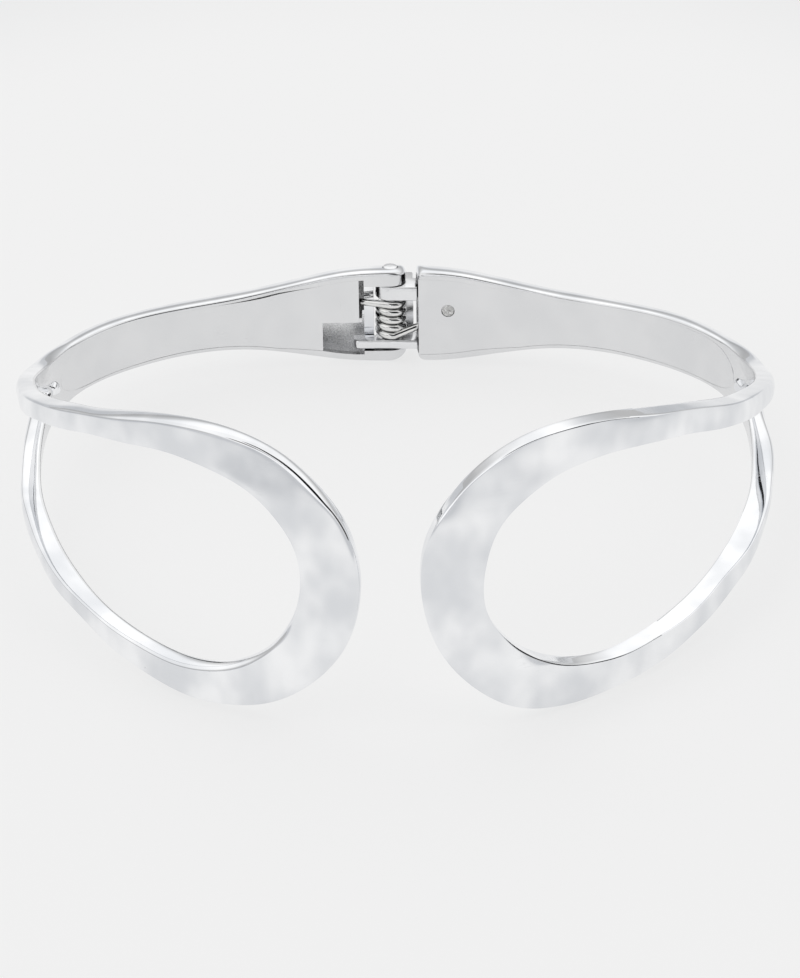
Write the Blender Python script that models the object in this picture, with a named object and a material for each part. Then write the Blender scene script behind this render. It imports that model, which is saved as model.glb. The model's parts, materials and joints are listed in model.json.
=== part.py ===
"""Sprung hinged cuff bracelet with two open teardrop ends, lying on a table.

The bracelet is drawn flat first. A point of the flat drawing is (u, n, z) in millimetres: u runs along the
inside of the bracelet from the middle of the back to the front, n goes outward from the inside surface and z
goes along the wrist. bend() rolls the drawing round the wrist. The left half is the mirror of the right one,
apart from the hinge. At the end everything is laid on the table, on its hinge end and its two loops.
"""

import math

import bmesh
import bpy
import numpy as np
from mathutils import Euler, Matrix, Vector

MM = 0.001

# The oval inside of the bracelet, seen along the wrist.
INNER_HALF_WIDTH = 31.0
BACK_DEPTH = 20.9
FRONT_DEPTH = 27.5
BACK_SQUARENESS = 2.53
FRONT_SQUARENESS = 1.91
PLAN_STEPS = 900

# The flat drawing of one half: half its height along u, then the loop's round end, and the teardrop opening.
OUTLINE = [
    (0.0, 4.55), (4.8, 4.4), (9.5, 3.5), (13.9, 2.72), (18.5, 2.45), (25.0, 2.55), (31.0, 2.6), (36.5, 2.95),
    (42.5, 4.6), (49.0, 6.75), (55.0, 8.6), (60.0, 10.2), (65.0, 11.75), (70.5, 12.95), (75.5, 12.9),
    (79.6, 11.6), (82.9, 8.8), (85.3, 4.8), (86.2, 0.0),
]  # fmt: skip
OPENING = [
    (36.5, 0.0), (38.6, 1.35), (41.2, 2.6), (44.5, 3.75), (50.0, 5.15), (55.0, 6.65), (61.0, 8.4), (66.5, 9.45),
    (70.7, 9.7), (74.6, 9.0), (78.0, 7.0), (80.4, 3.8), (81.2, 0.0),
]  # fmt: skip
# Metal thickness at an edge, and what the rounded back adds to it at the middle of the band.
EDGE_THICKNESS = [
    (0, 0.9), (10, 0.8), (20, 0.8), (32, 0.95), (40, 1.5), (50, 1.8), (65, 1.7), (80, 1.45), (88, 1.3),
]  # fmt: skip
CROWN = [(0, 2.65), (10, 2.35), (20, 2.0), (32, 1.6), (40, 1.0), (50, 0.6), (65, 0.45), (80, 0.4), (88, 0.4)]
CROWN_REACH = 0.7

# How finely a half is divided.
FORK_U = 32.0
ARM_STATIONS = 15
FORK_SEGMENTS = 10
LOOP_SEGMENTS = 64
BAND_SEGMENTS = 4

# The hinge. Its pin stands along z.
PIN_X = -0.75
PIN_N = 1.45
PIN_Y = BACK_DEPTH + PIN_N
PIN_RADIUS = 0.65
PIN_HALF_LENGTH = 4.6
PIN_CHAMFER = 0.08
BORE_RADIUS = 0.74
EAR_BACK_DEPTH = 2.15
EAR_REACH = 1.42
EAR_TOP_UNDERSIDE = 3.1
EAR_BOTTOM_TOPSIDE = -3.4
RIGHT_END = 1.75
RIGHT_END_BACK = 1.4
END_SLOPE_FROM = 1.0
END_SLOPE_TO = 5.0

# The hollow behind each inside plate.
WALL_AT_HINGE = 1.0
WALL_ALONG_ARM = 0.75
BACK_WALL = 0.8
HOLLOW_END = 34.4
HOLLOW_ROUNDING = 5.0
BAY_END = 2.4
RIB_END = 3.15
RIB_DEPTH = 1.65
POCKET_END = 6.93
POCKET_TOP = -0.5
PARTITION = 0.45
MAIN_HOLLOW_START = 7.45

# The inside plates.
PLATE_SINK = 0.12
PLATE_THICKNESS = 0.5
PLATE_GAP = 0.08
LEFT_PLATE_START = 3.6
RIGHT_PLATE_START = 1.8

# The tongue that the right half turns on.
FLANGE_TOP = (1.6, 3.0)
FLANGE_BOTTOM = (-3.3, -2.45)
TONGUE_FACE = 0.05
TONGUE_SHOULDER = 1.7
TANG_FACE = 0.75
TANG_BACK = 2.15
TANG_START = 2.4
TANG_END = 6.2
TANG_HALF_HEIGHT = 2.7
FLANGE_END = 3.4
WEB_X = (-0.8, 1.3)
WEB_N = (2.97, 3.4)
TAIL_REACH = 3.4
TAIL_N = (0.12, 1.45)
TAIL_CORNER = (0.3, 0.35)

# The rivet through plate and tang.
RIVET_X = 4.48
RIVET_Z = 0.65
RIVET_HEAD_RADIUS = 0.64
RIVET_SHANK_RADIUS = 0.48
RIVET_HOLE_RADIUS = 0.72
RIVET_FACE = 0.16
RIVET_HEAD_DEPTH = 0.4
RIVET_CHAMFER = 0.12

# The torsion spring round the pin.
WIRE_RADIUS = 0.34
COIL_RADIUS = 1.11
COIL_TOP = 1.12
COIL_BOTTOM = -2.05
COIL_TURNS = 4
COIL_STEPS = 16
LEG_SLANT = math.radians(15)
LEFT_LEG = 3.1
RIGHT_LEG = 2.5
LEG_POINTS = 2
WIRE_SIDES = 8

ALONG_PIN = Matrix.Translation((PIN_X, PIN_Y, 0))

SEGMENTS_ROUND = 24

# Cutting tools reach this far past whatever they cut, solids that are joined reach a little into each other, and
# the table tip is looked for between flat and this angle.
CLEAR = 12.0
CLEAR_INSIDE = 1.0
OVERLAP = 0.2
SLIP = 0.01
SEAT_MARGIN = 0.02
SEAT_OVERLAP = 0.3
STEEPEST_TIP = math.radians(-30)
TIP_HALVINGS = 40


def plan_table():
    """Arc length, position and outward normal along the right half of the inside oval, from back to front."""
    angle = np.linspace(0.0, math.pi, PLAN_STEPS)
    power = 2 / np.where(np.cos(angle) > 0, BACK_SQUARENESS, FRONT_SQUARENESS)
    depth = np.where(np.cos(angle) > 0, BACK_DEPTH, FRONT_DEPTH)
    x = INNER_HALF_WIDTH * np.abs(np.sin(angle)) ** power
    y = depth * np.sign(np.cos(angle)) * np.abs(np.cos(angle)) ** power
    length = np.concatenate([[0.0], np.cumsum(np.hypot(np.diff(x), np.diff(y)))])
    even = np.linspace(0.0, length[-1], PLAN_STEPS)
    x, y = np.interp(even, length, x), np.interp(even, length, y)
    tx, ty = np.gradient(x, even), np.gradient(y, even)
    size = np.hypot(tx, ty)
    return even, x, y, -ty / size, tx / size


PLAN_U, PLAN_X, PLAN_Y, PLAN_NX, PLAN_NY = plan_table()


def bend(u, n, z, side):
    """The place in the bracelet, in millimetres, of a point of the flat drawing. side is 1 right, -1 left."""
    along, over = abs(u), math.copysign(1.0, u)
    x = np.interp(along, PLAN_U, PLAN_X) + n * np.interp(along, PLAN_U, PLAN_NX)
    y = np.interp(along, PLAN_U, PLAN_Y) + n * np.interp(along, PLAN_U, PLAN_NY)
    return Vector((side * over * x, y, z))


def smooth_curve(points, steps=12):
    """Points of a smooth curve through the given ones, which continues past both ends as their mirror."""
    knots = np.array(points, float)
    before = knots[1] * [-1, 1] if knots[0][1] else knots[1] * [1, -1]
    before = before + ([2 * knots[0][0], 0] if knots[0][1] else [0, 0])
    knots = np.vstack([before, knots, knots[-2] * [1, -1]])
    curve = []
    for a, b, c, d in zip(knots, knots[1:], knots[2:], knots[3:]):
        for t in np.linspace(0, 1, steps, endpoint=False):
            curve.append(
                0.5 * (2 * b + (c - a) * t + (2 * a - 5 * b + 4 * c - d) * t**2 + (3 * b - a - 3 * c + d) * t**3)
            )
    curve.append(knots[-2])
    return np.array(curve)


def even_points(curve, count):
    """count + 1 points evenly spaced along a curve."""
    length = np.concatenate([[0.0], np.cumsum(np.hypot(*np.diff(curve, axis=0).T))])
    even = np.linspace(0.0, length[-1], count + 1)
    return np.column_stack([np.interp(even, length, curve[:, k]) for k in (0, 1)])


OUTLINE_CURVE = smooth_curve(OUTLINE)
OPENING_CURVE = smooth_curve(OPENING)
TOP_OF_LOOP = int(np.argmax(OUTLINE_CURVE[:, 1]))


def half_height(u):
    """Half the height of an arm at u."""
    return float(np.interp(abs(u), OUTLINE_CURVE[:TOP_OF_LOOP, 0], OUTLINE_CURVE[:TOP_OF_LOOP, 1]))


def wall(u):
    """Thickness of the top and bottom walls of the hollow at u."""
    return float(np.interp(u, [7.0, 11.0], [WALL_AT_HINGE, WALL_ALONG_ARM]))


def distance(u, z, curve):
    """Distance from a point of the flat drawing to a curve of it."""
    a, b = curve[:-1], curve[1:]
    p = np.array([u, z])
    run = b - a
    share = np.clip(((p - a) * run).sum(1) / np.maximum((run**2).sum(1), 1e-12), 0, 1)
    return float(np.hypot(*(a + run * share[:, None] - p).T).min())


def thickness(u, z):
    """Metal thickness at a point of the flat drawing: thin at every edge, and rounded up between edges."""
    mirrored = [1, -1]
    edges = (OUTLINE_CURVE, OUTLINE_CURVE * mirrored, OPENING_CURVE, OPENING_CURVE * mirrored)
    gaps = [max(distance(abs(u), z, edge), 1e-4) for edge in edges]
    inset = 1 / (1 / gaps[0] + 1 / gaps[1] + 1 / min(gaps[2:]))
    edge = np.interp(abs(u), *zip(*EDGE_THICKNESS))
    return float(edge + np.interp(abs(u), *zip(*CROWN)) * math.sqrt(math.tanh(inset / CROWN_REACH)))


def material(name, colour, roughness, metallic):
    """A plain finish."""
    made = bpy.data.materials.new(name)
    made.use_nodes = True
    shader = made.node_tree.nodes["Principled BSDF"]
    shader.inputs["Base Color"].default_value = (*colour, 1.0)
    shader.inputs["Roughness"].default_value = roughness
    shader.inputs["Metallic"].default_value = metallic
    return made


def add_object(name, bm, finish=None):
    """An object in millimetres made from a bmesh, with its faces pointing out."""
    bmesh.ops.recalc_face_normals(bm, faces=bm.faces)
    mesh = bpy.data.meshes.new(name)
    bm.to_mesh(mesh)
    bm.free()
    made = bpy.data.objects.new(name, mesh)
    bpy.context.scene.collection.objects.link(made)
    if finish:
        mesh.materials.append(finish)
    return made


def prism(name, outline, low, high, finish=None):
    """A straight-sided solid: a plan outline in x and y, from z low to z high."""
    bm = bmesh.new()
    base = bm.faces.new([bm.verts.new((x, y, low)) for x, y in outline])
    grown = bmesh.ops.extrude_face_region(bm, geom=[base])
    top = [v for v in grown["geom"] if isinstance(v, bmesh.types.BMVert)]
    bmesh.ops.translate(bm, vec=(0, 0, high - low), verts=top)
    return add_object(name, bm, finish)


def block(name, x, y, z, finish=None):
    """A box between two values on each axis."""
    return prism(name, [(x[0], y[0]), (x[1], y[0]), (x[1], y[1]), (x[0], y[1])], *z, finish)


def turned(name, profile, place, finish=None):
    """A solid of revolution: (radius, height) points from axis to axis, turned about z, then put in place."""
    bm = bmesh.new()
    line = [bm.verts.new((r, 0, h)) for r, h in profile]
    edges = [bm.edges.new(pair) for pair in zip(line, line[1:])]
    bmesh.ops.spin(
        bm, geom=line + edges, axis=(0, 0, 1), cent=(0, 0, 0), angle=2 * math.pi, steps=SEGMENTS_ROUND, use_merge=True
    )
    bmesh.ops.remove_doubles(bm, verts=bm.verts, dist=1e-4)
    bmesh.ops.transform(bm, matrix=place, verts=bm.verts)
    return add_object(name, bm, finish)


def drill(name, radius, low, high, place):
    """A round cutting tool, between two heights of its own axis."""
    return turned(name, [(0, low), (radius, low), (radius, high), (0, high)], place)


def combine(target, operation, *tools):
    """Cuts the tools out of the target, or joins them to it, and removes them."""
    for tool in tools:
        change = target.modifiers.new(operation, "BOOLEAN")
        change.operation = operation
        change.solver = "EXACT"
        change.object = tool
        bpy.context.view_layer.update()
        mesh = bpy.data.meshes.new_from_object(target.evaluated_get(bpy.context.evaluated_depsgraph_get()))
        target.modifiers.remove(change)
        target.data = mesh
        bpy.data.objects.remove(tool)
    return target


def flat_sheet(start):
    """The flat drawing of a half as a sheet of quads, from the hinge end at u = start round the loop."""
    half_fork = FORK_SEGMENTS // 2
    half_loop = LOOP_SEGMENTS // 2
    fork = [(FORK_U, half_height(FORK_U) * i / half_fork) for i in range(half_fork)]
    beyond = OUTLINE_CURVE[OUTLINE_CURVE[:, 0] > FORK_U]
    beyond = np.vstack([[FORK_U, half_height(FORK_U)], beyond])
    outer = np.vstack([fork, even_points(beyond, half_loop - half_fork)])
    share = np.concatenate([np.linspace(0, 0.06, half_fork + 1), np.linspace(0.06, 1, half_loop - half_fork + 1)[1:]])
    fine = even_points(OPENING_CURVE, 400)
    inner = fine[np.round(share * 400).astype(int)]
    mirrored = [1, -1]
    outer = np.vstack([outer, (outer * mirrored)[-2:0:-1]])
    inner = np.vstack([inner, (inner * mirrored)[-2:0:-1]])
    across = [(1 - math.cos(math.pi * j / BAND_SEGMENTS)) / 2 for j in range(BAND_SEGMENTS + 1)]

    bm = bmesh.new()
    ring = [[bm.verts.new((*(q + (p - q) * w), 0)) for w in across] for q, p in zip(inner, outer)]
    for here, there in zip(ring, ring[1:] + ring[:1]):
        for a, b, c, d in zip(here, here[1:], there[1:], there):
            bm.faces.new((a, b, c, d))
    order = list(range(-half_fork, half_fork + 1))
    row = [ring[i][-1] for i in order]
    for u in np.linspace(FORK_U, start, ARM_STATIONS + 1)[1:]:
        height = half_height(u)
        spread = [math.sin(math.pi / 2 * i / half_fork) for i in order]
        fade = min(1.0, (FORK_U - u) / 6)
        line = [
            bm.verts.new((u, height * (i / half_fork * (1 - fade) + s * fade), 0)) for i, s in zip(order, spread)
        ]
        for a, b, c, d in zip(row, row[1:], line[1:], line):
            bm.faces.new((a, b, c, d))
        row = line
    return bm


def half_blank(name, start, side, finish):
    """One half with no hinge details: the flat sheet thickened and bent round the wrist."""
    bm = flat_sheet(start)
    inside = list(bm.verts)
    grown = bmesh.ops.extrude_face_region(bm, geom=bm.faces[:])
    outside = [v for v in grown["geom"] if isinstance(v, bmesh.types.BMVert)]
    for v in outside:
        v.co = bend(v.co.x, thickness(v.co.x, v.co.y), v.co.y, side)
    for v in inside:
        v.co = bend(v.co.x, 0.0, v.co.y, side)
    return add_object(name, bm, finish)


def strip(name, stations, section, side, finish=None):
    """A solid along the arm: section(u) gives its (n, z) corners at each station."""
    bm = bmesh.new()
    rings = [[bm.verts.new(bend(u, n, z, side)) for n, z in section(u)] for u in stations]
    for here, there in zip(rings, rings[1:]):
        for i in range(len(here)):
            k = (i + 1) % len(here)
            bm.faces.new((here[i], here[k], there[k], there[i]))
    bm.faces.new(rings[0])
    bm.faces.new(rings[-1])
    return add_object(name, bm, finish)


def hollow_height(u):
    """Half the height of the hollow, which ends in a round near the fork."""
    past = max(0.0, (u - (HOLLOW_END - HOLLOW_ROUNDING)) / HOLLOW_ROUNDING)
    return (half_height(u) - wall(u)) * math.sqrt(max(0.0, 1 - past**2))


def hollow_stations(start):
    """Places along the arm where the hollow is drawn, closer together at its round end."""
    straight = np.linspace(start, HOLLOW_END - HOLLOW_ROUNDING, 12)
    rounding = [HOLLOW_END - HOLLOW_ROUNDING * (1 - math.sin(math.pi / 2 * k / 5)) for k in range(1, 5)]
    return [*straight, *rounding]


def hollow_cutter(start, side):
    """The hollow of an arm, open to the inside."""

    def section(u):
        top = hollow_height(u)
        heights = [top * math.cos(math.pi * k / 6) for k in range(7)]
        back = [(thickness(u, z) - BACK_WALL, z) for z in heights]
        return [(-CLEAR_INSIDE, top), *back, (-CLEAR_INSIDE, -top)]

    return strip("hollow_cutter", hollow_stations(start), section, side)


def seat_cutter(u, side):
    """A shallow recess for the inside plate between two places along the arm."""
    back = PLATE_SINK + PLATE_THICKNESS + PLATE_GAP

    def section(place):
        top = hollow_height(place) + SEAT_MARGIN
        return [(-CLEAR_INSIDE, -top), (-CLEAR_INSIDE, top), (back, top), (back, -top)]

    return strip("seat_cutter", np.linspace(*u, 4), section, side)


def chamber_cutter(name, u, z, side):
    """A square-cornered chamber at the hinge end of the left arm."""

    def section(place):
        low = max(z[0], -half_height(place) + wall(place))
        high = min(z[1], half_height(place) - wall(place))
        back = thickness(place, 0) - BACK_WALL
        return [(-CLEAR_INSIDE, low), (back, low), (back, high), (-CLEAR_INSIDE, high)]

    return strip(name, np.linspace(*u, 4), section, side)


def inside_plate(name, start, side, finish):
    """The plate that closes an arm's hollow on the wrist side."""

    def section(u):
        top = hollow_height(u) - PLATE_GAP
        front, back = PLATE_SINK, PLATE_SINK + PLATE_THICKNESS
        return [(front, -top), (front, top), (back, top), (back, -top)]

    return strip(name, [start, *hollow_stations(start)[1:]], section, side, finish)


def around_pin(first, last, radius, count, squash=1.0):
    """Plan points on an arc round the pin, angles in degrees, with its depth scaled by squash."""
    angles = [math.radians(first + (last - first) * i / count) for i in range(count + 1)]
    return [(PIN_X + radius * math.cos(a), PIN_Y + radius * squash * math.sin(a)) for a in angles]


def left_half(finish):
    """The left shell: loop, hollow arm and the two ears that hold the pin."""
    shell = half_blank("left_shell", -(PIN_X + EAR_REACH), -1, finish)
    face = BACK_DEPTH - CLEAR_INSIDE
    between_ears = (EAR_BOTTOM_TOPSIDE, EAR_TOP_UNDERSIDE)
    hollow = hollow_cutter(MAIN_HOLLOW_START, -1)
    seat = seat_cutter((LEFT_PLATE_START - PLATE_GAP, MAIN_HOLLOW_START + SEAT_OVERLAP), -1)
    pocket = chamber_cutter("pocket_cutter", (RIB_END, POCKET_END), (-CLEAR, POCKET_TOP), -1)
    leg_room = chamber_cutter("leg_room_cutter", (RIB_END, POCKET_END), (POCKET_TOP + PARTITION, CLEAR), -1)
    bay = block("bay_cutter", (-BAY_END, CLEAR), (face, BACK_DEPTH + CLEAR), between_ears)
    rib_side = (-RIB_END - OVERLAP, -BAY_END + OVERLAP)
    leg_gap = block("leg_gap_cutter", rib_side, (face, BACK_DEPTH + RIB_DEPTH), between_ears)
    # What is left of the ears past the pin is round: a half circle inside, and a deeper quarter oval outside.
    rim = around_pin(-90, 0, EAR_REACH, 8) + around_pin(0, 90, EAR_REACH, 8, EAR_BACK_DEPTH / EAR_REACH)[1:]
    behind, before = PIN_Y + CLEAR, PIN_Y - CLEAR
    around = [(PIN_X, behind), (CLEAR, behind), (CLEAR, before), (PIN_X, before)]
    rounding = prism("ear_cutter", [*rim, *around], -CLEAR, CLEAR)
    bore = drill("bore_cutter", BORE_RADIUS, -CLEAR, CLEAR, ALONG_PIN)
    return combine(shell, "DIFFERENCE", hollow, seat, pocket, leg_room, bay, leg_gap, rounding, bore)


def right_half(finish):
    """The right shell: loop and hollow arm, open at the hinge end for the tongue."""
    shell = half_blank("right_shell", RIGHT_END_BACK, 1, finish)
    hollow = hollow_cutter(RIGHT_END_BACK - CLEAR_INSIDE, 1)
    before, behind = BACK_DEPTH - CLEAR_INSIDE, BACK_DEPTH + END_SLOPE_TO
    slope = [
        (0.0, before), (RIGHT_END, before), (RIGHT_END, BACK_DEPTH + END_SLOPE_FROM), (RIGHT_END_BACK, behind),
        (0.0, behind),
    ]  # fmt: skip
    return combine(shell, "DIFFERENCE", hollow, prism("end_cutter", slope, -CLEAR, CLEAR))


def left_plate(finish):
    """The left inside plate, with the notch where the tongue's tail swings out."""
    plate = inside_plate("left_inner_plate", LEFT_PLATE_START, -1, finish)
    across = (BACK_DEPTH - CLEAR_INSIDE, BACK_DEPTH + CLEAR_INSIDE)
    notch = block("notch_cutter", (-POCKET_END, 0), across, (-CLEAR, POCKET_TOP))
    return combine(plate, "DIFFERENCE", notch)


def right_plate(finish):
    """The right inside plate, with the rivet's hole."""
    plate = inside_plate("right_inner_plate", RIGHT_PLATE_START, 1, finish)
    hole = drill("hole_cutter", RIVET_HOLE_RADIUS, -CLEAR_INSIDE, TANG_FACE, rivet_place())
    return combine(plate, "DIFFERENCE", hole)


def rivet_place():
    """The rivet's axis: its own z points outward from the wrist, and starts at the inside surface."""
    start = bend(RIVET_X, 0, RIVET_Z, 1)
    outward = bend(RIVET_X, 1, RIVET_Z, 1) - start
    return Matrix.Translation(start) @ outward.to_track_quat("Z", "Y").to_matrix().to_4x4()


def tongue(finish):
    """The knuckle that turns on the pin: two flanges, a web behind the spring and a tang inside the right arm."""
    face, shoulder = BACK_DEPTH + TONGUE_FACE, BACK_DEPTH + TANG_FACE
    tang_back, web_back = BACK_DEPTH + TANG_BACK, BACK_DEPTH + WEB_N[1]
    arm_side = [
        (WEB_X[0], web_back), (WEB_X[1], web_back), (WEB_X[1], tang_back), (FLANGE_END, tang_back),
        (FLANGE_END, shoulder), (TONGUE_SHOULDER, shoulder), (TONGUE_SHOULDER, face),
    ]  # fmt: skip
    nose_radius = PIN_N - TONGUE_FACE
    top = prism("hinge_tongue", [*arm_side, *around_pin(270, 90, nose_radius, 14)], *FLANGE_TOP, finish)
    tail_face, tail_back = BACK_DEPTH + TAIL_N[0], BACK_DEPTH + TAIL_N[1]
    tail_end = PIN_X - TAIL_REACH
    tail = [
        (PIN_X, tail_face), (tail_end + TAIL_CORNER[0], tail_face), (tail_end, tail_face + TAIL_CORNER[1]),
        (tail_end, tail_back),
    ]  # fmt: skip
    bottom = prism("flange", [*arm_side, *tail, *around_pin(180, 90, nose_radius, 7)], *FLANGE_BOTTOM)
    middle = (FLANGE_BOTTOM[1] - OVERLAP, FLANGE_TOP[0] + OVERLAP)
    web = block("web", (WEB_X[0] + SLIP, WEB_X[1] - SLIP), (BACK_DEPTH + WEB_N[0], web_back - SLIP), middle)
    tang = block("tang", (TANG_START, TANG_END), (shoulder, tang_back), (-TANG_HALF_HEIGHT, TANG_HALF_HEIGHT))
    made = combine(top, "UNION", tang, bottom, web)
    bore = drill("bore_cutter", BORE_RADIUS, -CLEAR, CLEAR, ALONG_PIN)
    hole = drill("hole_cutter", RIVET_HOLE_RADIUS, -CLEAR_INSIDE, CLEAR, rivet_place())
    return combine(made, "DIFFERENCE", bore, hole)


def pin(finish):
    """The hinge pin, riveted flush in both ears, with a small chamfer at each end."""
    end = PIN_HALF_LENGTH
    half = [(PIN_RADIUS, end - PIN_CHAMFER), (PIN_RADIUS - PIN_CHAMFER, end), (0, end)]
    profile = [(r, -h) for r, h in reversed(half)] + half
    return turned("hinge_pin", profile, ALONG_PIN, finish)


def rivet(finish):
    """The rivet that holds the tang: a low head sunk in the plate, on a thinner shank."""
    profile = [
        (0, RIVET_FACE), (RIVET_HEAD_RADIUS - RIVET_CHAMFER, RIVET_FACE),
        (RIVET_HEAD_RADIUS, RIVET_FACE + RIVET_CHAMFER),
        (RIVET_HEAD_RADIUS, RIVET_FACE + RIVET_HEAD_DEPTH), (RIVET_SHANK_RADIUS, RIVET_FACE + RIVET_HEAD_DEPTH),
        (RIVET_SHANK_RADIUS, TANG_BACK), (0, TANG_BACK),
    ]  # fmt: skip
    return turned("tang_rivet", profile, rivet_place(), finish)


def spring_path():
    """The spring wire's middle line: left leg, turns down the pin, right leg."""

    def on_coil(angle, height):
        return Vector((PIN_X + COIL_RADIUS * math.cos(angle), PIN_Y + COIL_RADIUS * math.sin(angle), height))

    first = -math.pi / 2 - LEG_SLANT
    sweep = 2 * math.pi * COIL_TURNS + 2 * LEG_SLANT
    steps = COIL_TURNS * COIL_STEPS
    coil = [
        on_coil(first + sweep * i / steps, COIL_TOP + (COIL_BOTTOM - COIL_TOP) * i / steps) for i in range(steps + 1)
    ]
    away_left = Vector((-math.cos(LEG_SLANT), math.sin(LEG_SLANT), 0))
    away_right = Vector((math.cos(LEG_SLANT), math.sin(LEG_SLANT), 0))
    left = [coil[0] + away_left * LEFT_LEG * k / LEG_POINTS for k in range(LEG_POINTS, 0, -1)]
    right = [coil[-1] + away_right * RIGHT_LEG * k / LEG_POINTS for k in range(1, LEG_POINTS + 1)]
    return left + coil + right


def spring(finish):
    """The torsion spring, a round wire swept along its path and closed at both ends."""
    route = spring_path()
    bm = bmesh.new()
    rings = []
    for i, place in enumerate(route):
        ahead = (route[min(i + 1, len(route) - 1)] - route[max(i - 1, 0)]).normalized()
        side = ahead.cross(Vector((0, 0, 1))).normalized()
        up = side.cross(ahead)
        turn = [2 * math.pi * (k + 0.5) / WIRE_SIDES for k in range(WIRE_SIDES)]
        rings.append([bm.verts.new(place + WIRE_RADIUS * (side * math.cos(a) + up * math.sin(a))) for a in turn])
    for here, there in zip(rings, rings[1:]):
        for k in range(WIRE_SIDES):
            bm.faces.new((here[k - 1], here[k], there[k], there[k - 1]))
    bm.faces.new(rings[0])
    bm.faces.new(rings[-1])
    return add_object("torsion_spring", bm, finish)


def world_points(objects):
    """Every corner of the objects as they stand, in metres."""
    bpy.context.view_layer.update()
    graph = bpy.context.evaluated_depsgraph_get()
    found = []
    for one in objects:
        mesh = one.evaluated_get(graph).to_mesh()
        found += [one.matrix_world @ v.co for v in mesh.vertices]
    return np.array(found)


def table_tip(objects):
    """The angle about x at which both the hinge end and the loops touch a table under them."""
    upright = world_points(objects)
    low, high = STEEPEST_TIP, 0.0
    for _ in range(TIP_HALVINGS):
        tip = (low + high) / 2
        heights = upright @ np.array(Matrix.Rotation(tip, 3, "X"))[2]
        at_back = upright[:, 1] > 0
        if heights[at_back].min() > heights[~at_back].min():
            high = tip
        else:
            low = tip
    return tip


def build():
    for old in list(bpy.data.objects):
        bpy.data.objects.remove(old)
    polished = material("polished_plating", (0.86, 0.87, 0.88), 0.08, 1.0)
    wire = material("spring_wire", (0.72, 0.72, 0.71), 0.2, 1.0)
    rough = material("rivet_metal", (0.6, 0.6, 0.6), 0.4, 1.0)

    left = [left_half(polished), left_plate(polished), pin(polished), spring(wire)]
    right = [right_half(polished), right_plate(polished), tongue(polished), rivet(rough)]

    root = bpy.data.objects.new("bracelet", None)
    hinge = bpy.data.objects.new("hinge_axis", None)
    for empty in (root, hinge):
        bpy.context.scene.collection.objects.link(empty)
    hinge.parent = root
    hinge.location = Vector((PIN_X, PIN_Y, 0)) * MM
    for one in left + right:
        offset = Vector((PIN_X, PIN_Y, 0)) if one in right else Vector()
        one.data.transform(Matrix.Scale(MM, 4) @ Matrix.Translation(-offset))
        one.parent = hinge if one in right else root
        one.data.shade_smooth()
        one.data.set_sharp_from_angle(angle=math.radians(30))

    root.rotation_euler = Euler((table_tip(left + right), 0, 0))
    placed = world_points(left + right)
    middle = (placed.min(0) + placed.max(0)) / 2
    root.location = (-middle[0], -middle[1], -placed[:, 2].min())


build()
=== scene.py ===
"""Looks of the sprung hinged cuff bracelet: polished shells, plates, hinge, spring and a plain studio.

Shapes are drawn flat first, as on the bench: u runs along the inside of the bracelet from the middle of the
back to the front, n goes outward from the inside surface and z along the wrist, all in millimetres. bend()
rolls the drawing round the wrist, and ON_TABLE lays the bracelet on the table where the frame has it.
"""

import json
import math

import bmesh
import bpy
import numpy as np
from mathutils import Matrix, Vector, noise

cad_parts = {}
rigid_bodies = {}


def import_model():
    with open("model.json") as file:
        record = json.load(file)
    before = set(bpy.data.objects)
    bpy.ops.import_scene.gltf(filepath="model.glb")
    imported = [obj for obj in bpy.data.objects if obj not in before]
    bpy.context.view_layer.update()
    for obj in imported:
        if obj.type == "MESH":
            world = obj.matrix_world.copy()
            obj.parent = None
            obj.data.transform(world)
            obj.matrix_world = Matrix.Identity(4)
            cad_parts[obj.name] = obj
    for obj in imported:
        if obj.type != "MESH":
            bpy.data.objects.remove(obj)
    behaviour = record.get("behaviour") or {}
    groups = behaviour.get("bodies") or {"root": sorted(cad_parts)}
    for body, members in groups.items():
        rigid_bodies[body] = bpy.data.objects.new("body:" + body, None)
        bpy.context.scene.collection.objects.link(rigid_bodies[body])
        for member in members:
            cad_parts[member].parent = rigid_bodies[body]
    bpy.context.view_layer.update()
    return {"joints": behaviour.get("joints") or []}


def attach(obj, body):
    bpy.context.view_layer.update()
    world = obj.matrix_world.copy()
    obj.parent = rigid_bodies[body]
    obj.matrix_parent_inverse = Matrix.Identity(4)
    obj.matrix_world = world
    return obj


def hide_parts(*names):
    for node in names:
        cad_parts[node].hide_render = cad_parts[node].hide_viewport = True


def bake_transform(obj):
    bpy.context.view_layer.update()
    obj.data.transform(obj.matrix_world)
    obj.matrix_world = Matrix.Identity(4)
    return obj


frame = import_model()

bl_info = {
    "name": "Hinged Teardrop Bracelet",
    "version": (1, 0, 0),
    "blender": (4, 5, 0),
    "location": "View3D > Sidebar > Bracelet",
    "description": "Builds a sprung hinged cuff bracelet with open teardrop ends, and a plain studio for it",
    "category": "Add Mesh",
}

MM = 0.001
JOINT = frame["joints"][0]
LEFT, RIGHT = JOINT["parent"], JOINT["child"]

# The oval inside of the bracelet, seen along the wrist.
INNER_HALF_WIDTH = 31.0
BACK_DEPTH = 20.9
FRONT_DEPTH = 27.5
BACK_SQUARENESS = 2.53
FRONT_SQUARENESS = 1.91
PLAN_STEPS = 1800

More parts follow.
